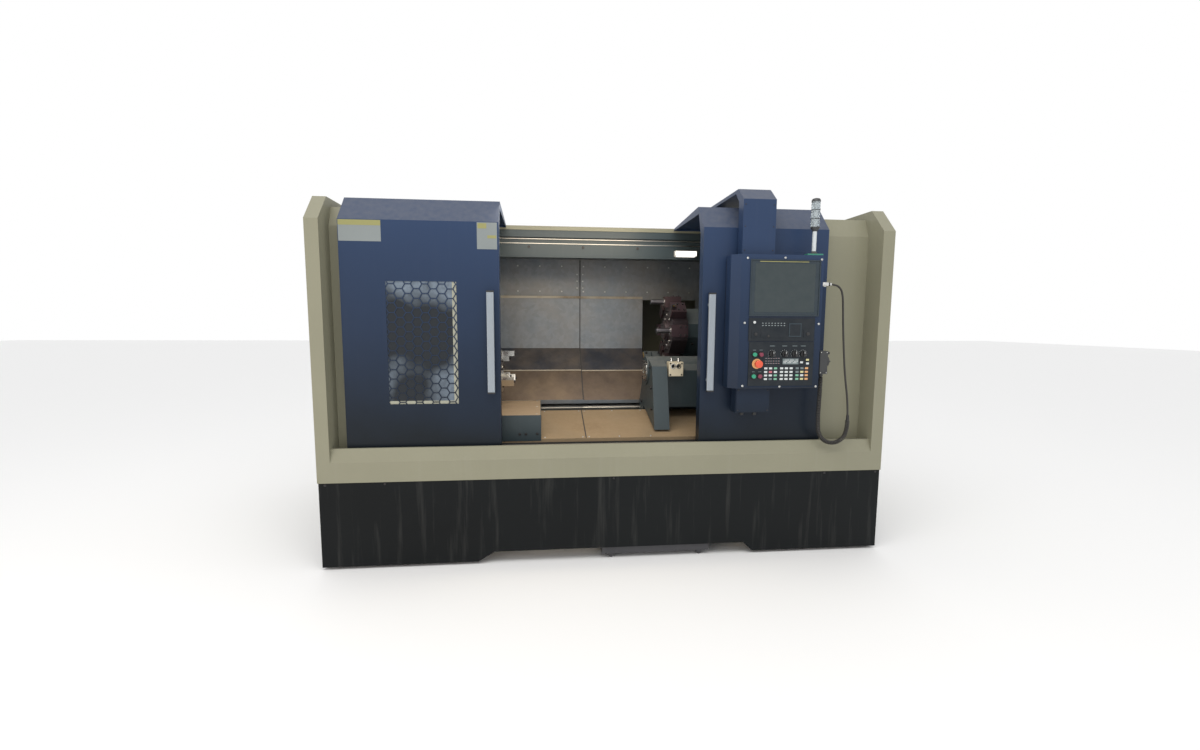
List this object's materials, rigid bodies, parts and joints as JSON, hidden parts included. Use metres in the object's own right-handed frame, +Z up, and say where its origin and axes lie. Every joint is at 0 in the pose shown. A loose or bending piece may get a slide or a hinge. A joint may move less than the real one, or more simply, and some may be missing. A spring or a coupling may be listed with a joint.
{
  "type": "cnc turning lathe",
  "caption": "Enclosed slant-bed turning lathe with sliding front doors, jawed chuck, tool turret, tailstock, hanging control console and a corded handwheel pendant.",
  "frame": {"origin": "on the floor, below the middle of the machine's length and depth, the cord left out", "axes": "+X along the spindle towards the tailstock end, +Y from the front to the back, +Z up"},
  "size_m": [3, 1.72, 1.963],
  "materials": {
    "charcoal_paint": "satin textured",
    "beige_paint": "satin",
    "blue_paint": "satin",
    "grey_green_paint": "satin",
    "bed_paint": "satin",
    "motor_paint": "satin",
    "cream_paint": "satin",
    "galvanised_sheet": "satin",
    "chute_steel": "satin",
    "cover_steel": "satin",
    "rail_steel": "satin",
    "ground_steel": "bright ground",
    "dark_steel": "black oxide",
    "tool_steel": "satin",
    "foot_iron": "matte",
    "tank_paint": "satin",
    "handle_aluminium": "anodised",
    "window_glass": "polished",
    "belt_rubber": "matte",
    "screen_plastic": "gloss",
    "panel_plastic": "satin",
    "lamp_plastic": "clear ribbed",
    "light_body": "satin",
    "stop_red": "gloss",
    "button_green": "gloss",
    "button_maroon": "gloss",
    "knob_black": "satin",
    "gland_metal": "polished",
    "cable_rubber": "satin",
    "pendant_plastic": "satin"
  },
  "bodies": {
    "machine": {"skirt_panels": "charcoal_paint", "levelling_feet": "foot_iron", "bed_casting": "bed_paint", "end_covers": "beige_paint", "front_sill": "beige_paint", "front_panels": "beige_paint", "roof_panels": "beige_paint", "rear_cover": "beige_paint", "rail_beam": "grey_green_paint", "lower_rail": "rail_steel", "console_housing": "blue_paint", "display_unit": "screen_plastic", "operator_panel": "panel_plastic", "cable_duct": "blue_paint", "junction_box": "blue_paint", "signal_lamp": "lamp_plastic", "chamber_lining": "galvanised_sheet", "fixed_way_cover": "cover_steel", "chip_chute": "chute_steel", "chuck_guard": "grey_green_paint", "work_light": "light_body", "coolant_tank": "tank_paint", "headstock_casting": "grey_green_paint", "spindle_motor": "motor_paint", "drive_belt": "belt_rubber", "z_guideways": "rail_steel", "cable_gland": "gland_metal", "pendant_cord": "cable_rubber", "pendant_coil": "cable_rubber", "pendant_body": "pendant_plastic"},
    "left_door": {"left_door_shell": "blue_paint", "left_door_pane": "window_glass", "left_door_handle": "handle_aluminium"},
    "right_door": {"right_door_shell": "blue_paint", "right_door_handle": "handle_aluminium"},
    "spindle": {"spindle_shaft": "ground_steel", "chuck_body": "ground_steel"},
    "jaw_1": {"chuck_jaw_1": "ground_steel"},
    "jaw_2": {"chuck_jaw_2": "ground_steel"},
    "jaw_3": {"chuck_jaw_3": "ground_steel"},
    "motor_drive": {"motor_pulley": "ground_steel"},
    "carriage": {"carriage_casting": "grey_green_paint", "sliding_way_covers": "cover_steel"},
    "turret_slide": {"cross_slide": "grey_green_paint"},
    "turret": {"turret_disc": "ground_steel", "tool_blocks": "dark_steel", "cutting_tools": "tool_steel"},
    "tailstock": {"tailstock_casting": "grey_green_paint", "tailstock_manifold": "cream_paint"},
    "quill": {"tailstock_quill": "ground_steel"},
    "stop_button": {"emergency_stop": "stop_red"},
    "button_1": {"push_button_1": "button_green"},
    "button_2": {"push_button_2": "button_maroon"},
    "button_3": {"push_button_3": "button_green"},
    "button_4": {"push_button_4": "button_maroon"},
    "knob_1": {"selector_knob_1": "knob_black"},
    "knob_2": {"selector_knob_2": "knob_black"},
    "knob_3": {"selector_knob_3": "knob_black"},
    "knob_4": {"selector_knob_4": "knob_black"},
    "handwheel": {"pendant_handwheel": "pendant_plastic"}
  },
  "joints": [
    {"name": "left_door_slide", "type": "slide", "parent": "machine", "child": "left_door", "axis": [1, 0, 0], "range_m": [0, 0.58]},
    {"name": "right_door_slide", "type": "slide", "parent": "machine", "child": "right_door", "axis": [1, 0, 0], "range_m": [-0.478, 0]},
    {"name": "spindle_turn", "type": "hinge", "parent": "machine", "child": "spindle", "pos_m": [-0.7, -0.24, 0.97], "axis": [1, 0, 0], "continuous": true},
    {"name": "jaw_1_slide", "type": "slide", "parent": "spindle", "child": "jaw_1", "axis": [0, 0, 1], "range_m": [-0.0044, 0]},
    {"name": "jaw_2_slide", "type": "slide", "parent": "spindle", "child": "jaw_2", "axis": [0, -0.866, -0.5], "range_m": [-0.0044, 0]},
    {"name": "jaw_3_slide", "type": "slide", "parent": "spindle", "child": "jaw_3", "axis": [0, 0.866, -0.5], "range_m": [-0.0044, 0]},
    {"name": "motor_turn", "type": "hinge", "parent": "machine", "child": "motor_drive", "pos_m": [-1.165, -0.58, 0.21], "axis": [1, 0, 0], "continuous": true},
    {"name": "carriage_slide", "type": "slide", "parent": "machine", "child": "carriage", "axis": [1, 0, 0], "range_m": [-0.41, 0.19]},
    {"name": "turret_slide_move", "type": "slide", "parent": "carriage", "child": "turret_slide", "axis": [0, 0.7071, 0.7071], "range_m": [-0.095, 0.09]},
    {"name": "turret_turn", "type": "hinge", "parent": "turret_slide", "child": "turret", "pos_m": [0.505, 0.00424, 1.21424], "axis": [1, 0, 0], "continuous": true},
    {"name": "tailstock_slide", "type": "slide", "parent": "machine", "child": "tailstock", "axis": [-1, 0, 0], "range_m": [-0.25, 0.5]},
    {"name": "quill_slide", "type": "slide", "parent": "tailstock", "child": "quill", "axis": [1, 0, 0], "range_m": [-0.1, 0]},
    {"name": "stop_press", "type": "slide", "parent": "machine", "child": "stop_button", "axis": [0, 1, 0], "range_m": [0, 0.006]},
    {"name": "button_1_press", "type": "slide", "parent": "machine", "child": "button_1", "axis": [0, 1, 0], "range_m": [0, 0.004], "stiffness_N_per_m": 500},
    {"name": "button_2_press", "type": "slide", "parent": "machine", "child": "button_2", "axis": [0, 1, 0], "range_m": [0, 0.004], "stiffness_N_per_m": 500},
    {"name": "button_3_press", "type": "slide", "parent": "machine", "child": "button_3", "axis": [0, 1, 0], "range_m": [0, 0.004], "stiffness_N_per_m": 500},
    {"name": "button_4_press", "type": "slide", "parent": "machine", "child": "button_4", "axis": [0, 1, 0], "range_m": [0, 0.004], "stiffness_N_per_m": 500},
    {"name": "knob_1_turn", "type": "hinge", "parent": "machine", "child": "knob_1", "pos_m": [0.814, -0.835, 1.108], "axis": [0, 1, 0], "range_deg": [-135, 135]},
    {"name": "knob_2_turn", "type": "hinge", "parent": "machine", "child": "knob_2", "pos_m": [0.881, -0.835, 1.108], "axis": [0, 1, 0], "range_deg": [-135, 135]},
    {"name": "knob_3_turn", "type": "hinge", "parent": "machine", "child": "knob_3", "pos_m": [0.936, -0.835, 1.108], "axis": [0, 1, 0], "range_deg": [-135, 135]},
    {"name": "knob_4_turn", "type": "hinge", "parent": "machine", "child": "knob_4", "pos_m": [0.982, -0.835, 1.108], "axis": [0, 1, 0], "range_deg": [-135, 135]},
    {"name": "handwheel_turn", "type": "hinge", "parent": "machine", "child": "handwheel", "pos_m": [1.135, -0.779, 1.066], "axis": [1, 0, 0], "continuous": true}
  ],
  "couplings": [
    {"joint": "jaw_2_slide", "follows": "jaw_1_slide", "ratio": 1},
    {"joint": "jaw_3_slide", "follows": "jaw_1_slide", "ratio": 1},
    {"joint": "motor_turn", "follows": "spindle_turn", "ratio": 1.6923}
  ]
}
